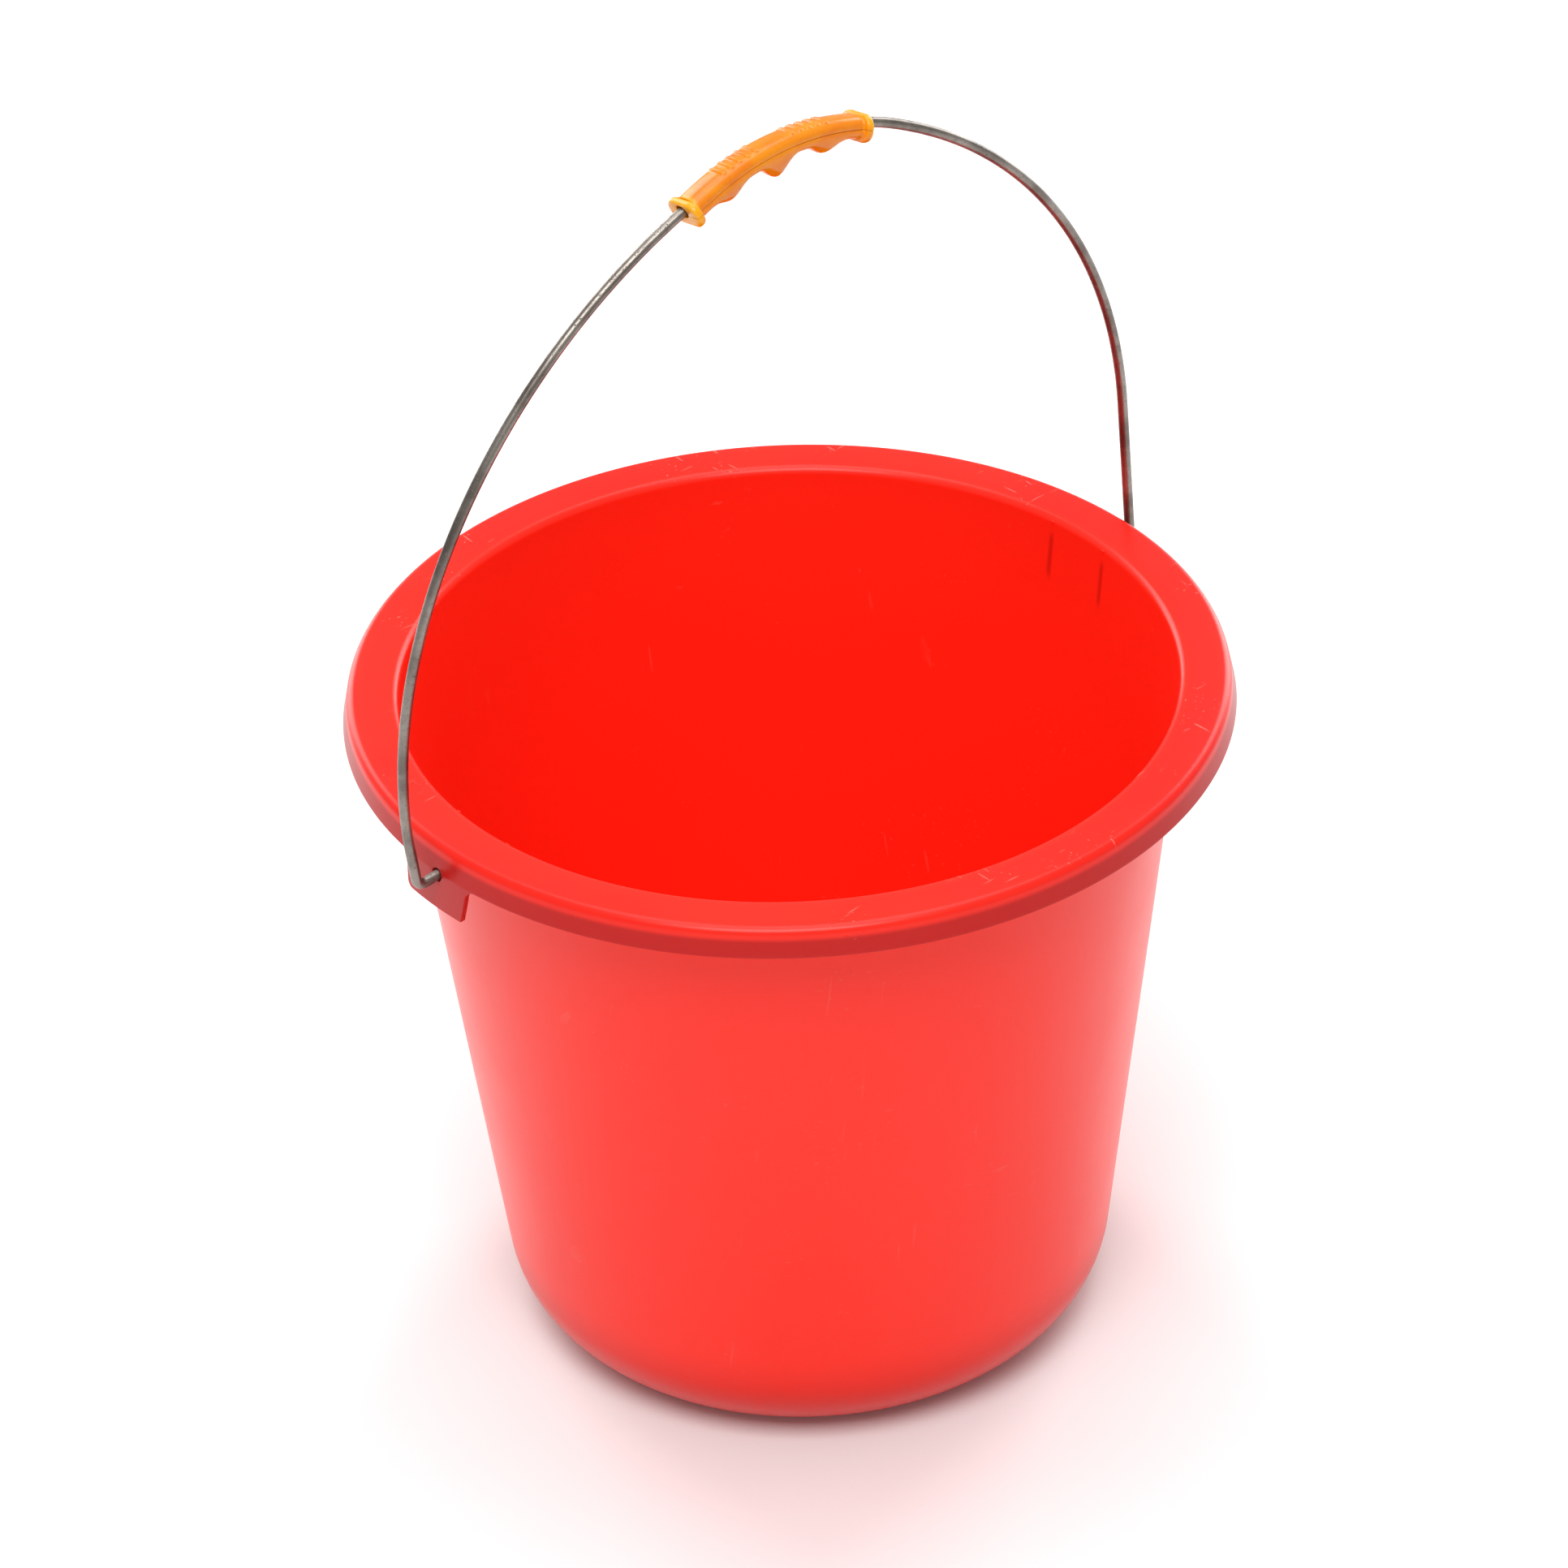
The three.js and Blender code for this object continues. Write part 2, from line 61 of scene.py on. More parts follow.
aim = Vector((-0.0023, 0.0019, rim_height - AIM_BELOW_RIM))
look = Matrix.Rotation(AZIMUTH, 3, "Z") @ Matrix.Rotation(math.pi / 2 - ELEVATION, 3, "X")
camera = bpy.data.objects.new("camera", bpy.data.cameras.new("camera"))
camera.data.sensor_width = 36
camera.data.lens = LENS
camera.data.clip_end = 60
camera.location = aim + look @ Vector((0, 0, CAMERA_DISTANCE))
camera.rotation_euler = (look @ Matrix.Rotation(ROLL, 3, "Z")).to_euler()
bpy.context.scene.collection.objects.link(camera)
bpy.context.scene.camera = camera
bpy.context.scene.view_settings.view_transform = "Standard"


class Shade:
    """One output of a material's nodes. Arithmetic on it adds Math nodes to the same material."""

    def __init__(self, tree, socket):
        self.tree = tree
        self.socket = socket

    def math(self, operation, *terms):
        return shade(self.tree, "ShaderNodeMath", {"operation": operation}, dict(enumerate(terms)))

    def __add__(self, other):
        return self.math("ADD", self, other)

    def __sub__(self, other):
        return self.math("SUBTRACT", self, other)

    def __rsub__(self, other):
        return self.math("SUBTRACT", other, self)

    def __mul__(self, other):
        return self.math("MULTIPLY", self, other)

    def __pow__(self, other):
        return self.math("POWER", self, other)

    def __abs__(self):
        return self.math("ABSOLUTE", self)

    __radd__ = __add__
    __rmul__ = __mul__

    def between(self, low, high):
        """0 below low, 1 above high and a smooth rise between; the other way round if low > high."""
        return shade(self.tree, "ShaderNodeMapRange", {"interpolation_type": "SMOOTHSTEP"},
                     {"Value": self, "From Min": low, "From Max": high})


def shade(tree, kind, settings, inputs, output=0):
    """Adds one node: its settings first, then the values or links of its sockets."""
    added = tree.nodes.new(kind)
    for name, value in settings.items():
        if name == "stops":
            for index, (place, colour) in enumerate(value):
                stop = added.color_ramp.elements[index] if index < 2 else added.color_ramp.elements.new(place)
                stop.position = place
                stop.color = (*colour, 1)
        else:
            setattr(added, name, value)
    for name, value in inputs.items():
        if isinstance(value, Shade):
            tree.links.new(value.socket, added.inputs[name])
        else:
            added.inputs[name].default_value = value
    return Shade(tree, added.outputs[output])


def blank_material(name):
    """A material with an empty Principled shader: its tree, the shader and the object's coordinates."""
    material = bpy.data.materials.new(name)
    material.use_nodes = True
    tree = material.node_tree
    place = shade(tree, "ShaderNodeTexCoord", {}, {}, "Object")
    return material, tree, tree.nodes["Principled BSDF"], place


def finish_shader(tree, bsdf, constants, varying):
    """Sets the shader's constant sockets and links the ones that change over the surface."""
    for name, value in constants.items():
        bsdf.inputs[name].default_value = value
    for name, value in varying.items():
        tree.links.new(value.socket, bsdf.inputs[name])


def noise_at(tree, place, scale, detail=3.0, roughness=0.5, stretch=(1, 1, 1)):
    """Noise at so many cells a metre, after stretching the coordinates."""
    moved = shade(tree, "ShaderNodeMapping", {}, {"Vector": place, "Scale": stretch})
    return shade(tree, "ShaderNodeTexNoise", {}, {
        "Vector": moved, "Scale": scale, "Detail": detail, "Roughness": roughness})


def colour_mix(tree, factor, first, second):
    """The first colour where the factor is 0 and the second where it is 1."""
    first = first if isinstance(first, Shade) else (*first, 1)
    second = second if isinstance(second, Shade) else (*second, 1)
    return shade(tree, "ShaderNodeMix", {"data_type": "RGBA"}, {0: factor, 6: first, 7: second}, 2)


def bump(tree, height, distance, strength=1.0):
    return shade(tree, "ShaderNodeBump", {}, {
        "Height": height, "Distance": distance, "Strength": strength})


def object_from(bm, name, material, sharp=math.radians(48)):
    """Turns a finished bmesh into an object: smooth faces, with creases kept at the sharp edges."""
    for face in bm.faces:
        face.smooth = True
    for edge in bm.edges:
        edge.smooth = not (len(edge.link_faces) == 2 and edge.calc_face_angle() > sharp)
    mesh = bpy.data.meshes.new(name)
    bm.to_mesh(mesh)
    bm.free()
    mesh.materials.append(material)
    made = bpy.data.objects.new(name, mesh)
    bpy.context.scene.collection.objects.link(made)
    return made


FLOOR_RADIUS = 14
FLOOR_COLOUR = (0.93, 0.93, 0.93)
FLOOR_SHADE = (0.9, 0.9, 0.905)

floor_paint, tree, bsdf, place = blank_material("floor_paint")
cloud = noise_at(tree, place, 3.0)
finish_shader(tree, bsdf, {"Specular IOR Level": 0.2}, {
    "Base Color": colour_mix(tree, cloud.between(0.3, 0.7), FLOOR_COLOUR, FLOOR_SHADE),
    "Roughness": cloud * 0.1 + 0.6,
    "Normal": bump(tree, noise_at(tree, place, 400), 0.00005)})
bm = bmesh.new()
bmesh.ops.create_circle(bm, cap_ends=True, segments=96, radius=FLOOR_RADIUS)
floor = object_from(bm, "floor", floor_paint)

world = bpy.data.worlds.new("studio")
world.use_nodes = True
world.node_tree.nodes["Background"].inputs["Color"].default_value = (1, 1, 1, 1)
world.node_tree.nodes["Background"].inputs["Strength"].default_value = 0.42
bpy.context.scene.world = world


def light_panel(name, azimuth, elevation, distance, width, height, power):
    """A soft white panel that faces the bucket. Azimuth is counted as the camera's is."""
    panel = bpy.data.objects.new(name, bpy.data.lights.new(name, "AREA"))
    panel.data.shape = "RECTANGLE"
    panel.data.size = width
    panel.data.size_y = height
    panel.data.energy = power
    turn = (Matrix.Rotation(math.radians(azimuth), 3, "Z")
            @ Matrix.Rotation(math.pi / 2 - math.radians(elevation), 3, "X"))
    panel.location = Vector((0, 0, rim_height / 2)) + turn @ Vector((0, 0, distance))
    panel.rotation_euler = turn.to_euler()
    bpy.context.scene.collection.objects.link(panel)


light_panel("panel_front", -45, 58, 2.6, 1.5, 1.2, 40)
light_panel("panel_back_left", 176, 20, 2.2, 0.9, 1.8, 20)
light_panel("panel_back_right", 106, 20, 2.2, 0.9, 1.8, 22)
light_panel("panel_top", 140, 80, 2.4, 1.8, 1.8, 24)


# Bucket body. One injection-moulded shell in soft red polypropylene: floor, tapering wall, flat rim
# with its turned-down skirt, and an ear with a pivot hole at each end, stiffened by two small ribs.
WALL_THICKNESS = 2.0 * MM
FLOOR_TOP = 3.8 * MM
FLOOR_EDGE = 62.4 * MM
CORNER_RADIUS = 30.6 * MM
CORNER_CENTRE = 74.29 * MM
DRAFT = math.radians(7.06)
RIM_ROUND = 3.0 * MM
RIM_INNER = 132.05 * MM
RIM_OUTER = 150.0 * MM
SKIRT_FOOT = 151.5 * MM
SKIRT_DEPTH = 10.1 * MM
EAR_RADIUS = 151.85 * MM
EAR_DEPTH = 24.4 * MM
EAR_WIDE = 19.1 * MM
UPRIGHT_SIDE = 17.6 * MM
UPRIGHT_FILLET = 1.5 * MM
SLANTED_TOP = 13.6 * MM
SLANTED_FOOT = 11.3 * MM
SLANTED_FILLET = 5.4 * MM
EAR_CORNER = 2.6 * MM
PAD_RADIUS = 16.0 * MM
EDGE_ROUND = 0.45 * MM
HOLE_RADIUS = 2.5 * MM
ACROSS_HOLE = 1.35 * MM
RIB_OUTLINE = [(131.2, 251.4), (148.6, 251.4), (149.7, 243.6), (148.0, 242.4), (132.3, 241.6)]
RIB_HALF = 0.8
RIB_PLACES = (-13, 13)
SHRINKAGE = 0.12 * MM

swing = next(joint for joint in frame["joints"] if joint["name"] == "bail_swing")
pivot_height = swing["pos_m"][2]


def arc(centre_r, centre_z, radius, start, stop, steps):
    """Points of a profile arc, radius first, with angles in degrees from the outward direction."""
    angles = [math.radians(start + (stop - start) * i / steps) for i in range(steps + 1)]
    return [(centre_r + radius * math.cos(a), centre_z + radius * math.sin(a)) for a in angles]


def straight(first, last, steps):
    """Points after the first, up to and including the last."""
    return [(first[0] + (last[0] - first[0]) * i / steps, first[1] + (last[1] - first[1]) * i / steps)
            for i in range(1, steps + 1)]


def skirt_radius(z):
    """The skirt leans outwards, and the ears carry on below it almost upright."""
    foot = rim_height - SKIRT_DEPTH
    if z > foot:
        return SKIRT_FOOT + (RIM_OUTER - SKIRT_FOOT) * (z - foot) / (SKIRT_DEPTH - RIM_ROUND)
    return SKIRT_FOOT + (EAR_RADIUS - SKIRT_FOOT) * (foot - z) / (EAR_DEPTH - SKIRT_DEPTH)


def seen_profile():
    """The side of the shell that is seen: floor, inner wall, rim top, and skirt down to its foot."""
    corner_height = WALL_THICKNESS + CORNER_RADIUS
    points = [(r * MM, FLOOR_TOP) for r in (1, 8, 15.6, 16, 17.6, 30, 45, 58)]
    points += [(FLOOR_EDGE, FLOOR_TOP), (FLOOR_EDGE + 1.6 * MM, WALL_THICKNESS)]
    points += arc(CORNER_CENTRE, corner_height, CORNER_RADIUS, -90, -math.degrees(DRAFT), 22)
    round_height = rim_height - RIM_ROUND
    points += straight(points[-1], (RIM_INNER, round_height), 16)
    points += arc(RIM_INNER + RIM_ROUND, round_height, RIM_ROUND, 180, 90, 8)[1:]
    points += straight(points[-1], (RIM_OUTER - RIM_ROUND, rim_height), 3)
    points += arc(RIM_OUTER - RIM_ROUND, round_height, RIM_ROUND, 90, 0, 8)[1:]
    points += [(skirt_radius(rim_height - depth * MM), rim_height - depth * MM)
               for depth in (4.8, 6.4, 7.6, 8.4, 9.3, 10.1)]
    return points


def across_ear(upright_reach, slanted_reach):
    """Places across an ear: even about the pivot hole, then stretched out to the ear's two sides."""
    middle = [ACROSS_HOLE * i for i in range(-4, 5)]
    upright = [-middle[-1] - (upright_reach - middle[-1]) * i / 8 for i in range(8, 0, -1)]
    slanted = [middle[-1] + (slanted_reach - middle[-1]) * i / 8 for i in range(1, 9)]
    return upright + middle + slanted


def upright_side(depth):
    """How far the upright side stands from the ear's middle, so far below the rim's top."""
    if depth < SKIRT_DEPTH + UPRIGHT_FILLET:
        drop = (depth - SKIRT_DEPTH) / UPRIGHT_FILLET
        return UPRIGHT_SIDE + UPRIGHT_FILLET * (1 - math.sqrt(max(0, 1 - (1 - drop) ** 2)))
    above = EAR_DEPTH - depth
    if above < EAR_CORNER:
        fall = 1 - above / EAR_CORNER
        return UPRIGHT_SIDE - EAR_CORNER + EAR_CORNER * math.sqrt(max(0, 1 - fall ** 2))
    return UPRIGHT_SIDE


def slanted_side(depth):
    """The same for the slanted side, which runs down to a sharp corner."""
    if depth < SKIRT_DEPTH + SLANTED_FILLET:
        drop = (depth - SKIRT_DEPTH) / SLANTED_FILLET
        return SLANTED_TOP + SLANTED_FILLET * (1 - math.sqrt(max(0, 1 - (1 - drop) ** 2)))
    share = (depth - SKIRT_DEPTH - SLANTED_FILLET) / (EAR_DEPTH - SKIRT_DEPTH - SLANTED_FILLET)
    return SLANTED_TOP + (SLANTED_FOOT - SLANTED_TOP) * share


def ear_outline():
    """(height, upright reach, slanted reach) of each row of an ear, from the skirt down."""
    depths = [10.25, 10.6, 11.1, 11.8, 12.8, 14.0, 15.4, 17.0, 18.6, 20.2, 21.4, 22.2, 22.9, 23.5,
              23.95, 24.25, 24.4]
    return [(rim_height - depth * MM, upright_side(depth * MM), slanted_side(depth * MM))
            for depth in depths]


def ear_point(turn, y, z):
    radius = skirt_radius(z)
    angle = turn + y / EAR_RADIUS
    return Vector((radius * math.cos(angle), radius * math.sin(angle), z))


def quads(bm, upper, lower, skip=()):
    """A row of faces between two rows of points."""
    for i in range(len(upper) - 1):
        if i not in skip:
            bm.faces.new((upper[i], lower[i], lower[i + 1], upper[i + 1]))


EAR_COLUMNS = len(across_ear(EAR_WIDE, EAR_WIDE))
PLAIN_COLUMNS = 118
HOLE_COLUMNS = range(9, 15)
HOLE_BLOCK_ROWS = 12


def column_angles():
    """Angles of the shell's upright columns, ear by ear, each followed by the plain stretch after it."""
    half = EAR_WIDE / EAR_RADIUS
    angles = []
    for turn in (0, math.pi):
        angles += [turn + y / EAR_RADIUS for y in across_ear(EAR_WIDE, EAR_WIDE)]
        angles += [turn + half + (math.pi - 2 * half) * (i + 1) / (PLAIN_COLUMNS + 1)
                   for i in range(PLAIN_COLUMNS)]
    return angles


def pierced_ear(bm, turn, upper_rows):
    """The ear below the skirt, and the ragged pivot hole that is drilled through both."""
    rows = [list(row) for row in upper_rows]
    places = [[(y, row[0].co.z) for y in across_ear(EAR_WIDE, EAR_WIDE)] for row in rows]
    for z, upright_reach, slanted_reach in ear_outline():
        ys = across_ear(upright_reach, slanted_reach)
        rows.append([bm.verts.new(ear_point(turn, y, z)) for y in ys])
        places.append([(y, z) for y in ys])
    for i in range(len(rows) - 1):
        quads(bm, rows[i], rows[i + 1], HOLE_COLUMNS if i < HOLE_BLOCK_ROWS - 1 else ())
    first, last = HOLE_COLUMNS[0], HOLE_COLUMNS[-1] + 1
    ring = [(0, c) for c in range(first, last)]
    ring += [(r, last) for r in range(0, HOLE_BLOCK_ROWS - 1)]
    ring += [(HOLE_BLOCK_ROWS - 1, c) for c in range(last, first, -1)]
    ring += [(r, first) for r in range(HOLE_BLOCK_ROWS - 1, 0, -1)]
    edge = []
    for r, c in ring:
        y, z = places[r][c]
        angle = math.atan2(z - pivot_height, y)
        ragged = 0.12 * noise.noise(Vector((math.cos(angle) * 2, math.sin(angle) * 2, turn)))
        radius = HOLE_RADIUS * (1 + ragged)
        edge.append(bm.verts.new(ear_point(
            turn, radius * math.cos(angle), pivot_height + radius * math.sin(angle))))
    outer = [rows[r][c] for r, c in ring]
    for i in range(len(ring)):
        j = (i + 1) % len(ring)
        bm.faces.new((outer[i], edge[i], edge[j], outer[j]))


def shell_sheet():
    """The seen side of the shell as one sheet of faces that look inwards, upwards and outwards."""
    bm = bmesh.new()
    angles = column_angles()
    profile = seen_profile()
    rows = [[bm.verts.new((r * math.cos(a), r * math.sin(a), z)) for a in angles] for r, z in profile]
    bm.faces.new(rows[0])
    ear_rows = 5
    plain_from = len(rows) - ear_rows
    for i in range(len(rows) - 1):
        upper, lower = rows[i + 1], rows[i]
        if i < plain_from:
            quads(bm, [*lower, lower[0]], [*upper, upper[0]])
            continue
        for half in (0, 1):
            start = half * (EAR_COLUMNS + PLAIN_COLUMNS) + EAR_COLUMNS - 1
            count = PLAIN_COLUMNS + 2
            ring = [(start + k) % len(angles) for k in range(count)]
            quads(bm, [lower[k] for k in ring], [upper[k] for k in ring])
    for half, turn in ((0, 0.0), (1, math.pi)):
        start = half * (EAR_COLUMNS + PLAIN_COLUMNS)
        pierced_ear(bm, turn, [row[start:start + EAR_COLUMNS] for row in rows[plain_from:]])
    bmesh.ops.delete(bm, geom=[v for v in bm.verts if not v.link_faces], context="VERTS")
    return bm


def thicken(bm, thickness):
    """Gives a sheet its thickness on the side that its faces look away from."""
    bm.normal_update()
    edges = [edge for edge in bm.edges if edge.is_boundary]
    faces = list(bm.faces)
    back = {v: bm.verts.new(v.co - v.normal * thickness) for v in list(bm.verts)}
    for face in faces:
        bm.faces.new([back[v] for v in reversed(face.verts)])
    for edge in edges:
        loop = edge.link_loops[0]
        a, b = loop.vert, loop.link_loop_next.vert
        bm.faces.new((b, a, back[a], back[b]))
    return list(back.values())


def round_edges(bm, width, segments, sharp=math.radians(50)):
    """Rounds the sharp edges of closed solids."""
    bm.normal_update()
    edges = [e for e in bm.edges if len(e.link_faces) == 2 and e.calc_face_angle() > sharp]
    bmesh.ops.bevel(bm, geom=edges, offset=width, segments=segments, profile=0.5,
                    affect="EDGES", clamp_overlap=True)


def ear_rib(bm, turn, y):
    """A thin plate between the wall and the skirt, with its lower edge sloping up to the skirt."""
    sides = []
    for offset in (-RIB_HALF, RIB_HALF):
        sides.append([bm.verts.new(Matrix.Rotation(turn, 3, "Z") @ Vector((r, y + offset, z)) * MM)
                      for r, z in RIB_OUTLINE])
    bm.faces.new(sides[0])
    bm.faces.new(reversed(sides[1]))
    for i in range(len(RIB_OUTLINE)):
        j = (i + 1) % len(RIB_OUTLINE)
        bm.faces.new((sides[0][j], sides[0][i], sides[1][i], sides[1][j]))


def warp(bm):
    """The slight unevenness that a thin moulding keeps after it has cooled."""
    for v in bm.verts:
        away = Vector((v.co.x, v.co.y, 0))
        if away.length > 60 * MM:
            swell = noise.noise(v.co * 9) * SHRINKAGE - SHRINKAGE
            v.co += away.normalized() * swell


bm = shell_sheet()
back_side = thicken(bm, WALL_THICKNESS)
for v in back_side:
    if Vector((v.co.x, v.co.y)).length < PAD_RADIUS + 0.1 * MM:
        v.co.z = 0
for turn in (0, math.pi):
    for y in RIB_PLACES:
        ear_rib(bm, turn, y)
round_edges(bm, EDGE_ROUND, 3)
warp(bm)

RED = (0.80, 0.012, 0.006)
DEEP_RED = (0.66, 0.008, 0.005)
WARM_RED = (0.88, 0.018, 0.007)
# Painted shade: a darker red for the outer faces of the skirt and ears and for the body towards its bottom.
PAINTED_SHADE_RED = (0.44, 0.003, 0.002)
# Painted glow: a brighter red for light bounced about inside the bucket.
PAINTED_GLOW_RED = (1.0, 0.022, 0.008)
SCUFF_PINK = (0.95, 0.28, 0.22)
# Painted shadow: a dark red for the ear ribs' shadows showing through the wall.
RIB_SHADOW_RED = (0.35, 0.004, 0.003)

red_polypropylene, tree, bsdf, place = blank_material("red_polypropylene")
across_x, along_y, up_z = (
    shade(tree, "ShaderNodeSeparateXYZ", {}, {0: place}, axis) for axis in ("X", "Y", "Z"))
melt = noise_at(tree, place, 7, 2.0)
cloud = noise_at(tree, place, 26, 4.0, 0.6)
grain = noise_at(tree, place, 1300, 2.0)
wear_patch = noise_at(tree, place, 34, 2.0).between(0.54, 0.66)
long_scratch = noise_at(tree, place, 60, 1.0, 0.4, (9, 1.2, 0.4)).between(0.705, 0.735)
short_scratch = noise_at(tree, place, 90, 1.0, 0.4, (0.8, 7, 6)).between(0.70, 0.735)
fleck = noise_at(tree, place, 900, 1.0, 0.5).between(0.70, 0.76)
flat_radius = across_x ** 2 + along_y ** 2
inside = flat_radius.between(0.0232, 0.0224)
on_rim = up_z.between(0.2515, 0.2522)
scuff = ((long_scratch + short_scratch) * 0.5 + fleck * 0.5) * wear_patch * (on_rim + 0.35) * inside
# Painted shadow of the ear ribs seen through the wall: dark strokes 13 mm either side of each ear, just below
# the rim, on both faces of the wall.
painted_rib_shadow = (abs(abs(along_y) - 0.013).between(0.0016, 0.0002) * up_z.between(0.2275, 0.233)
            * up_z.between(0.2485, 0.2440) * 0.5)
painted_rib_shadow = painted_rib_shadow * flat_radius.between(0.0182, 0.0178)
red = colour_mix(tree, melt.between(0.35, 0.65), RED, WARM_RED)
red = colour_mix(tree, cloud.between(0.5, 0.8) * 0.35, red, DEEP_RED)
# Painted glow: the wall and floor, within about 135 mm of the axis, are mixed towards the brighter red.
red = colour_mix(tree, flat_radius.between(0.0190, 0.0170) * 0.9, red, PAINTED_GLOW_RED)
red = colour_mix(tree, painted_rib_shadow, red, RIB_SHADOW_RED)
# Painted shade: the outer faces of the skirt and ears, and the body towards its bottom, are mixed towards the
# darker red.
outside = flat_radius.between(0.0218, 0.0223) * up_z.between(0.2500, 0.2480)
shaded_low_corner = up_z.between(0.045, 0.012)
red = colour_mix(tree, (outside + shaded_low_corner * 0.7) * 0.85, red, PAINTED_SHADE_RED)
red = colour_mix(tree, scuff * 0.5, red, SCUFF_PINK)
relief = grain * 0.25 + cloud * 1.2 - scuff * 0.8
finish_shader(tree, bsdf, {
    "IOR": 1.49, "Specular IOR Level": 0.31}, {
    "Base Color": red,
    "Roughness": (cloud * 0.12 + 0.24) + scuff * 0.3,
    "Normal": bump(tree, relief, 0.00006)})

bucket_shell = object_from(bm, "bucket_shell", red_polypropylene)
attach(bucket_shell, "bucket")
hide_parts("bucket_body")


# Bail. One length of 3.8 mm galvanised steel wire, bent in a jig into an arch that is a little
# lopsided, with each foot turned sharply inwards through its ear. It is drawn a little slimmer than
# the solid, so that it stays within the solid's outline.
WIRE_RADIUS = 1.9 * MM
WIRE_SLIMMING = 0.945
BAIL_LEAN = math.radians(4.4)
APEX_X = -6.6
APEX_Z = 226.6
TOP_ARC = 100
FOOT_BEND = 3.4
STUB_RISE = math.radians(8)
STUB_PIVOT = 150.6
LEFT = {"sign": -1, "top_angle": 19, "flank": 186, "foot": 159.5, "end": 139}
RIGHT = {"sign": 1, "top_angle": 27, "flank": 204, "foot": 155.7, "end": 134}
WIRE_SIDES = 28


def arch_side(side):
    """The centres of one side's two arcs, and the angle where its straight leg starts, in mm."""
    top = (APEX_X * side["sign"], APEX_Z - TOP_ARC)
    angle = math.radians(side["top_angle"])
    flank_x = top[0] + (TOP_ARC - side["flank"]) * math.sin(angle)
    flank_z = top[1] + (TOP_ARC - side["flank"]) * math.cos(angle)
    reach = math.hypot(side["foot"] - flank_x, flank_z)
    leg = math.atan2(side["foot"] - flank_x, -flank_z) - math.acos(side["flank"] / reach)
    return top, (flank_x, flank_z), leg


def sweep_arc(x, z, radius, start, stop, steps):
    angles = [start + (stop - start) * i / steps for i in range(steps + 1)]
    return [Vector((x + radius * math.sin(a), 0, z + radius * math.cos(a))) for a in angles]


def side_route(side):
    """From the apex down: top arc, flank arc, straight leg, foot bend and the stub in the ear."""
    top, flank, leg = arch_side(side)
    angle = math.radians(side["top_angle"])
    points = sweep_arc(*top, TOP_ARC, 0, angle, 16)
    points += sweep_arc(*flank, side["flank"], angle, leg, 60)[1:]
    start_x = side["foot"] - FOOT_BEND * math.sin(leg)
    start_z = -FOOT_BEND * math.cos(leg)
    off_stub = (start_x - STUB_PIVOT) * math.sin(STUB_RISE) + start_z * math.cos(STUB_RISE)
    along = (off_stub - FOOT_BEND) / math.sin(leg - STUB_RISE)
    bend = (start_x + along * math.cos(leg), start_z - along * math.sin(leg))
    foot = sweep_arc(*bend, FOOT_BEND, leg, math.pi + STUB_RISE, 12)
    last = points[-1]
    points += [last.lerp(foot[0], i / 10) for i in range(1, 10)] + foot
    stub_end = Vector((side["end"], 0, (STUB_PIVOT - side["end"]) * math.tan(STUB_RISE)))
    points += [foot[-1].lerp(stub_end, i / 6) for i in range(1, 7)]
    return [Vector((p.x * side["sign"], 0, p.z)) for p in points]


def to_bail(point):
    """From the bail's own plane, in mm, to its place above the pivots with its lean."""
    turned = Matrix.Rotation(BAIL_LEAN, 3, "X") @ (point * MM)
    return turned + Vector((0, 0, pivot_height))


def wire_mesh(route):
    """Sweeps the round wire along the route, with its cut ends dressed to a small dome."""
    bm = bmesh.new()
    rings = []
    cut = [(0.35, 0.0), (0.8, 0.12), (1.0, 0.42)]
    for i, point in enumerate(route):
        before, after = route[max(i - 1, 0)], route[min(i + 1, len(route) - 1)]
        along = (after - before).normalized()
        across = Vector((0, 1, 0))
        outward = along.cross(across)
        scales = [(1.0, 0.0)]
        if i == 0:
            scales = cut
        if i == len(route) - 1:
            scales = [(size, -step) for size, step in reversed(cut)]
        for size, step in scales:
            ring = []
            for k in range(WIRE_SIDES):
                a = 2 * math.pi * k / WIRE_SIDES
                spot = across * math.cos(a) + outward * math.sin(a)
                dent = 1 + 0.012 * noise.noise(point * 0.13 + spot)
                ring.append(bm.verts.new(to_bail(
                    point + along * step + spot * (WIRE_RADIUS / MM) * WIRE_SLIMMING * size * dent)))
            rings.append(ring)
    for i in range(len(rings) - 1):
        quads(bm, [*rings[i + 1], rings[i + 1][0]], [*rings[i], rings[i][0]])
    bm.faces.new(rings[0])
    bm.faces.new(reversed(rings[-1]))
    bmesh.ops.recalc_face_normals(bm, faces=bm.faces)
    return bm


arch_route = side_route(LEFT)[::-1] + side_route(RIGHT)[1:]

ZINC = (0.30, 0.27, 0.24)
DULL_ZINC = (0.15, 0.125, 0.11)
PIT_BROWN = (0.07, 0.055, 0.045)

galvanised_wire, tree, bsdf, place = blank_material("galvanised_wire")
streak = noise_at(tree, place, 260, 4.0, 0.65)
blotch = noise_at(tree, place, 55, 3.0, 0.6)
pit = noise_at(tree, place, 1500, 2.0, 0.6).between(0.60, 0.72)
zinc = colour_mix(tree, blotch.between(0.35, 0.7), ZINC, DULL_ZINC)
zinc = colour_mix(tree, streak.between(0.5, 0.75) * 0.5, zinc, DULL_ZINC)
zinc = colour_mix(tree, pit * 0.7, zinc, PIT_BROWN)
finish_shader(tree, bsdf, {"Specular IOR Level": 0.5}, {
    "Base Color": zinc,
    "Metallic": 0.92 - pit * 0.5,
    "Roughness": streak * 0.2 + pit * 0.2 + 0.24,
    "Normal": bump(tree, streak * 0.5 - pit, 0.00008)})

bail_arch = object_from(wire_mesh(arch_route), "bail_arch", galvanised_wire)
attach(bail_arch, "bail")
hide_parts("bail_wire")


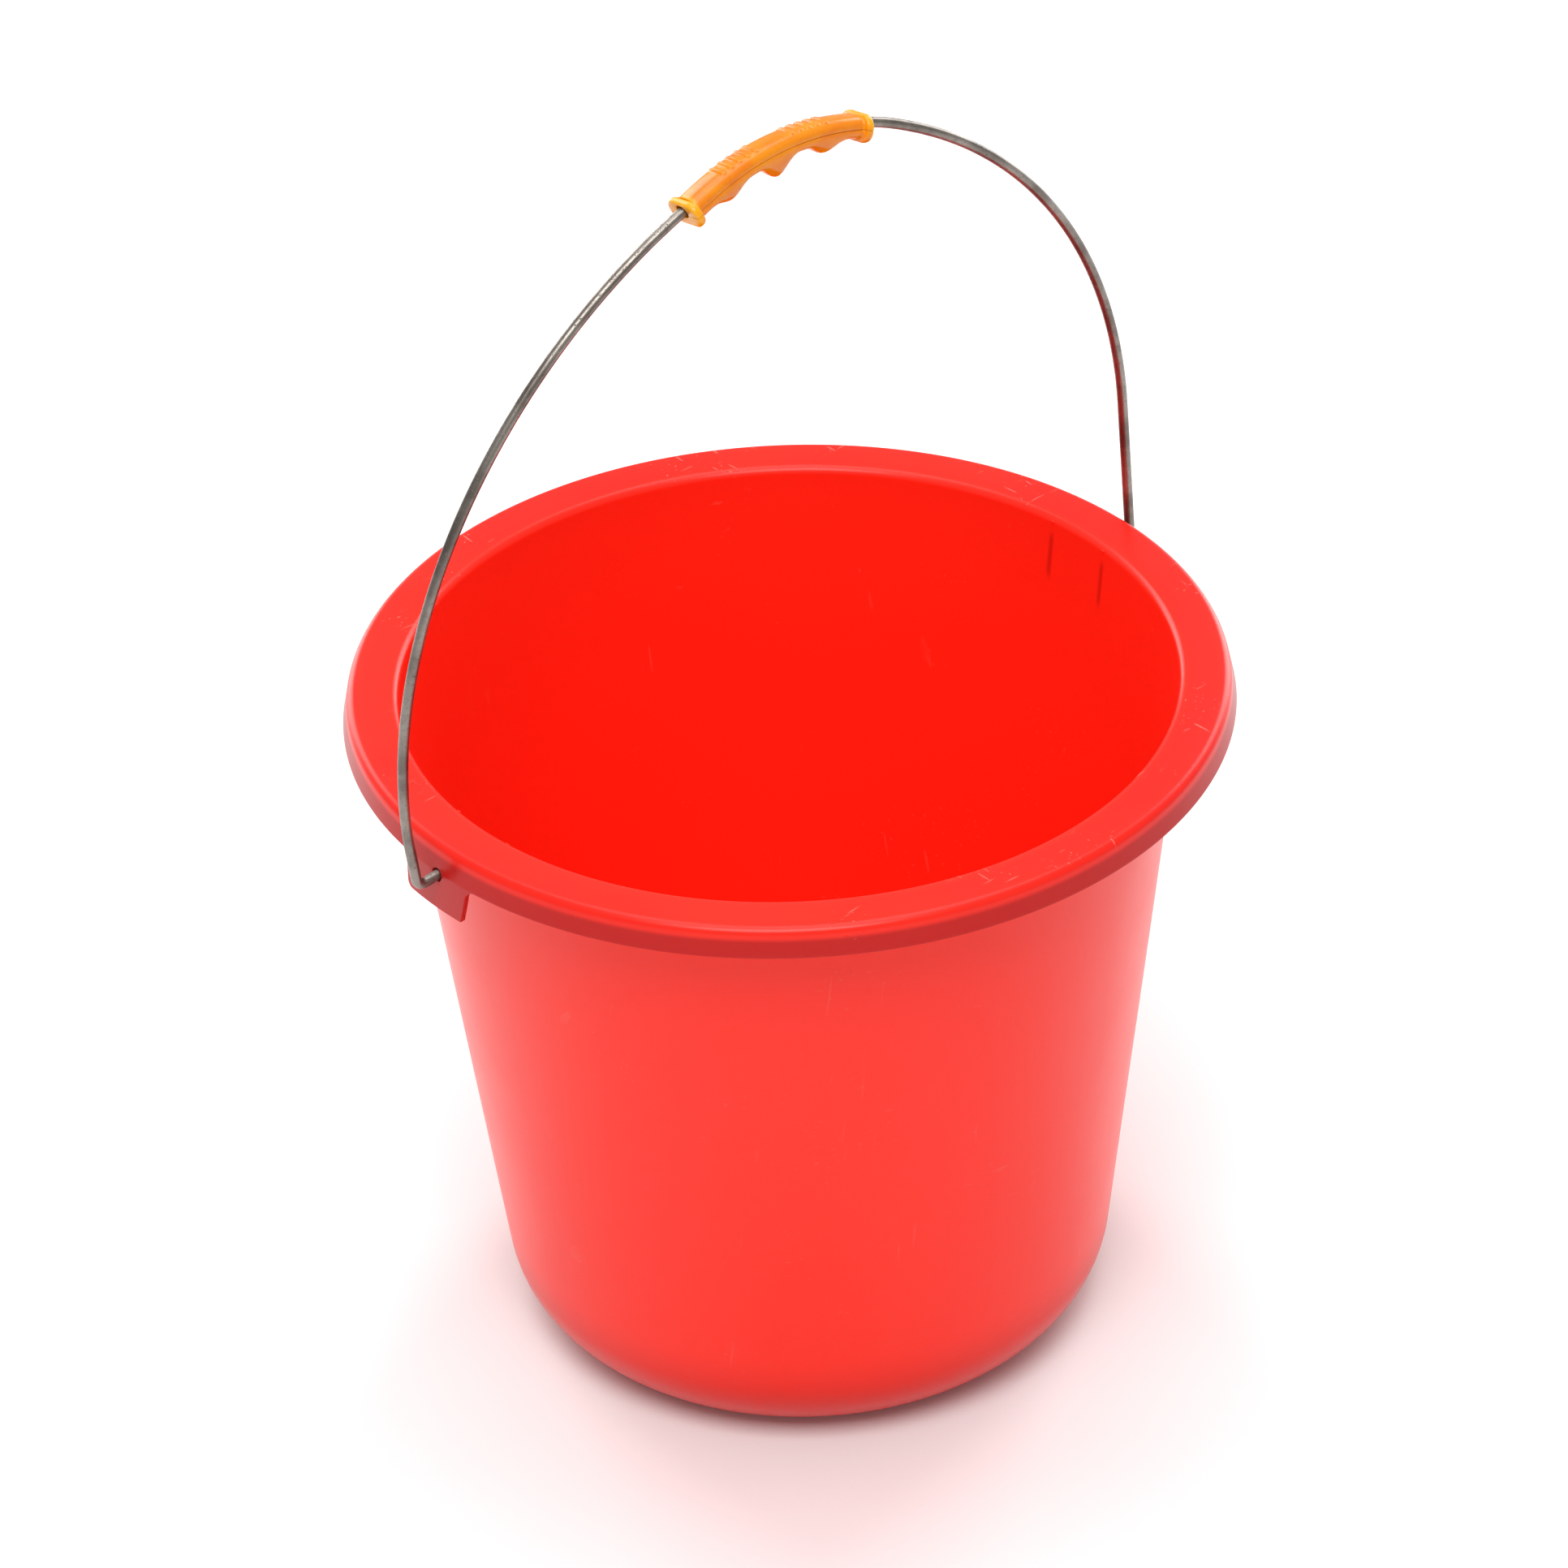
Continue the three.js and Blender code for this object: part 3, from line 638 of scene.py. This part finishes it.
# Hand grip. Two glossy orange-yellow mouldings pressed together about the wire: the upper half has
# two groups of cross ribs on its crown, the lower half three rounded bumps between the fingers.
GRIP_LEFT = -49.3
GRIP_RIGHT = 25.0
GRIP_MIDDLE = (GRIP_LEFT + GRIP_RIGHT) / 2
GRIP_TURN = math.radians(-15)
WIRE_SEAT = 1.2
HALF_WIDTH = 5.55
CROWN = 4.15
BELLY = 3.6
SHOULDER = 0.6
SQUARENESS = 0.77
SEAM = 0.06
FLANGE_HALF = 7.7
FLANGE_RISE = 4.75
FLANGE_CORNER = 4.2
FLANGE_THICK = 2.6
END_HOLE = 2.6
TUNNEL = (4.5, 3.3)
RIB_PITCH = 3.35
RIB_RISE = 0.5
RIB_REACH = 4.1
BUMP_OFFSET = 20.8
BUMP_RISES = (3.3, 5.6, 3.3)
BUMP_REACH = 10.0
HALF_POINTS = 48


def wire_normal(x):
    """The wire's point at x in the bail's plane and its outward direction, in mm."""
    side = LEFT if x < APEX_X else RIGHT
    top, flank, _ = arch_side(side)
    on_top = abs(x - APEX_X) < TOP_ARC * math.sin(math.radians(side["top_angle"]))
    centre, radius = (top, TOP_ARC) if on_top else (flank, side["flank"])
    centre_x = centre[0] * side["sign"]
    angle = math.asin((x - centre_x) / radius)
    outward = Vector((math.sin(angle), 0, math.cos(angle)))
    return Vector((centre_x, 0, centre[1])) + outward * radius, outward


grip_start = wire_normal(GRIP_LEFT)[0]
grip_axis = (wire_normal(GRIP_RIGHT)[0] - grip_start).normalized()


def to_grip(x, y, rise):
    """A point of the grip, from its place along the wire, across it and above it, in mm."""
    centre, outward = wire_normal(x)
    point = centre + outward * (rise - WIRE_SEAT) + Vector((0, y, 0))
    turned = Matrix.Rotation(GRIP_TURN, 3, grip_axis) @ (point - grip_start)
    return to_bail(turned + grip_start)


def smooth(value, low, high):
    share = min(max((value - low) / (high - low), 0), 1)
    return share * share * (3 - 2 * share)


def rib_rise(x, y):
    """Five low rounded ribs on each side of the crown's middle, which stop short of its edges."""
    rise = 0
    for group in (-14, 14):
        for index in range(-2, 3):
            away = abs(x - GRIP_MIDDLE - group - index * RIB_PITCH)
            rise = max(rise, 1 - smooth(away, 0.35, 1.05))
    return rise * RIB_RISE * (1 - smooth(abs(y), RIB_REACH - 0.45, RIB_REACH))


def bump_rise(x):
    rises = []
    for place, rise in zip((-1, 0, 1), BUMP_RISES):
        away = min(abs(x - GRIP_MIDDLE - place * BUMP_OFFSET) / BUMP_REACH, 1)
        rises.append(rise * (0.5 + 0.5 * math.cos(math.pi * away)) ** 1.4)
    return max(rises)


def seamed(points, half_width):
    """Rounds the long edge at the seam, at both ends of a half section."""
    lip = [(half_width - 0.22, SEAM), (half_width - 0.06, SEAM + 0.06), (half_width, SEAM + 0.24)]
    return lip + points + [(-y, rise) for y, rise in reversed(lip)]


def shell_section(x, upper, inset=0.0):
    """The outside of a half at x: a dome, with ribs above or a finger bump below."""
    height = CROWN if upper else BELLY + bump_rise(x)
    lean = 0 if upper else 0.22 * bump_rise(x) / max(BUMP_RISES)
    steps = HALF_POINTS - 7
    points = []
    for i in range(steps + 1):
        a = math.pi * (0.02 + 0.96 * i / steps)
        across = math.copysign(abs(math.cos(a)) ** SQUARENESS, math.cos(a))
        y = (HALF_WIDTH - inset) * across * (1 - lean * math.sin(a))
        rise = SHOULDER + (height - inset - SHOULDER) * math.sin(a) ** SQUARENESS
        points.append((y, rise + (rib_rise(x, y) if upper else 0)))
    return seamed(points, HALF_WIDTH - inset)


def flange_section(inset):
    """The outside of half a flange: a flat plate with well-rounded corners."""
    corner = FLANGE_CORNER - inset * 0.6
    wide = FLANGE_HALF - inset - corner
    high = FLANGE_RISE - inset - corner
    arc_steps = 12
    right = [(wide + corner * math.cos(a), high + corner * math.sin(a))
             for a in (math.pi / 2 * i / arc_steps for i in range(arc_steps + 1))]
    flat = HALF_POINTS - 6 - 2 * len(right)
    top = [(wide - 2 * wide * (i + 1) / (flat + 1), high + corner) for i in range(flat)]
    return seamed(right + top + [(-y, z) for y, z in reversed(right)], FLANGE_HALF - inset)


def hole_section(wide, high, seat=0.0):
    """The inside of a half, from one side of the seam to the other, about the wire or the seam."""
    low = math.asin((SEAM - seat) / high)
    angles = [low + (math.pi - 2 * low) * i / (HALF_POINTS - 1) for i in range(HALF_POINTS)]
    return [(wide * math.cos(a), seat + high * math.sin(a)) for a in angles]


def half_stations(upper):
    """(x, outside, inside) of each section along a half, from the left flange to the right one."""
    plate = [(0.0, 0.75), (0.1, 0.42), (0.35, 0.15), (0.8, 0.0), (1.3, 0.0), (1.8, 0.0),
             (2.25, 0.15), (2.5, 0.42), (2.6, 0.75)]
    left, right = [], []
    seat = WIRE_SEAT if upper else -WIRE_SEAT
    block = hole_section(END_HOLE + 0.1, END_HOLE + 0.1, seat)
    for step, inset in plate:
        hole = END_HOLE + (0.3 if step in (0.0, FLANGE_THICK) else 0)
        left.append((GRIP_LEFT + step, flange_section(inset), hole_section(hole, hole, seat)))
        right.append((GRIP_RIGHT - step, flange_section(inset), hole_section(hole, hole, seat)))
    for step, inset in ((2.62, -0.55), (2.75, -0.25), (3.1, -0.05)):
        for stations, x in ((left, GRIP_LEFT + step), (right, GRIP_RIGHT - step)):
            stations.append((x, shell_section(x, upper, inset), block))
    start, stop = GRIP_LEFT + 3.5, GRIP_RIGHT - 3.5
    count = 236
    middle = []
    for i in range(count + 1):
        x = start + (stop - start) * i / count
        room = smooth(min(x - start, stop - x), 1.5, 3.5)
        tunnel = hole_section(TUNNEL[0], TUNNEL[1] if upper else 2.2)
        inside = [(a + (c - a) * room, b + (d - b) * room) for (a, b), (c, d) in zip(block, tunnel)]
        middle.append((x, shell_section(x, upper), inside))
    return left + middle + right[::-1]


def grip_half(upper):
    """Joins the sections of a half into one closed shell."""
    sign = 1 if upper else -1
    bm = bmesh.new()
    loops = []
    for x, outside, inside in half_stations(upper):
        loops.append([bm.verts.new(to_grip(x, y, rise * sign)) for y, rise in outside + inside[::-1]])
    for i in range(len(loops) - 1):
        quads(bm, [*loops[i + 1], loops[i + 1][0]], [*loops[i], loops[i][0]])
    for loop in (loops[0], loops[-1]):
        outside, inside = loop[:HALF_POINTS], loop[HALF_POINTS:][::-1]
        quads(bm, outside, inside)
    bmesh.ops.recalc_face_normals(bm, faces=bm.faces)
    return bm


AMBER = (0.80, 0.25, 0.001)
DEEP_AMBER = (0.74, 0.18, 0.001)
CLEAR_YELLOW = (0.86, 0.36, 0.001)
# Painted reflection: a redder orange for the red bucket seen in the grip's underside.
PAINTED_RED_REFLECTION = (0.92, 0.17, 0.015)

orange_moulding, tree, bsdf, place = blank_material("orange_moulding")
across_x = shade(tree, "ShaderNodeSeparateXYZ", {}, {0: place}, "X")
flow = noise_at(tree, place, 70, 3.0, 0.55, (1, 2, 2))
mottle = noise_at(tree, place, 240, 3.0, 0.6)
haze = noise_at(tree, place, 2400, 2.0)
up_z = shade(tree, "ShaderNodeSeparateXYZ", {}, {0: place}, "Z")
thin_end = 1 - across_x.between(-0.0475, -0.0455) * across_x.between(0.0240, 0.0218)
# Painted reflection: the lower part of the grip is mixed towards a redder orange, for the red bucket below
# it.
red_reflection_zone = up_z.between(0.4600, 0.4565)
orange = colour_mix(tree, flow.between(0.35, 0.7), AMBER, DEEP_AMBER)
orange = colour_mix(tree, red_reflection_zone * 0.8, orange, PAINTED_RED_REFLECTION)
orange = colour_mix(tree, thin_end, orange, CLEAR_YELLOW)
finish_shader(tree, bsdf, {
    "IOR": 1.49, "Subsurface Weight": 0.12, "Subsurface Radius": (1.0, 0.42, 0.08),
    "Subsurface Scale": 0.0022}, {
    "Base Color": orange,
    "Roughness": mottle * 0.14 + 0.17,
    "Normal": bump(tree, mottle * 0.8 + haze * 0.1, 0.00006)})

for upper, piece, node in ((True, "grip_crown", "grip_upper_half"), (False, "grip_belly", "grip_lower_half")):
    half = object_from(grip_half(upper), piece, orange_moulding)
    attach(half, "grip")
    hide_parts(node)
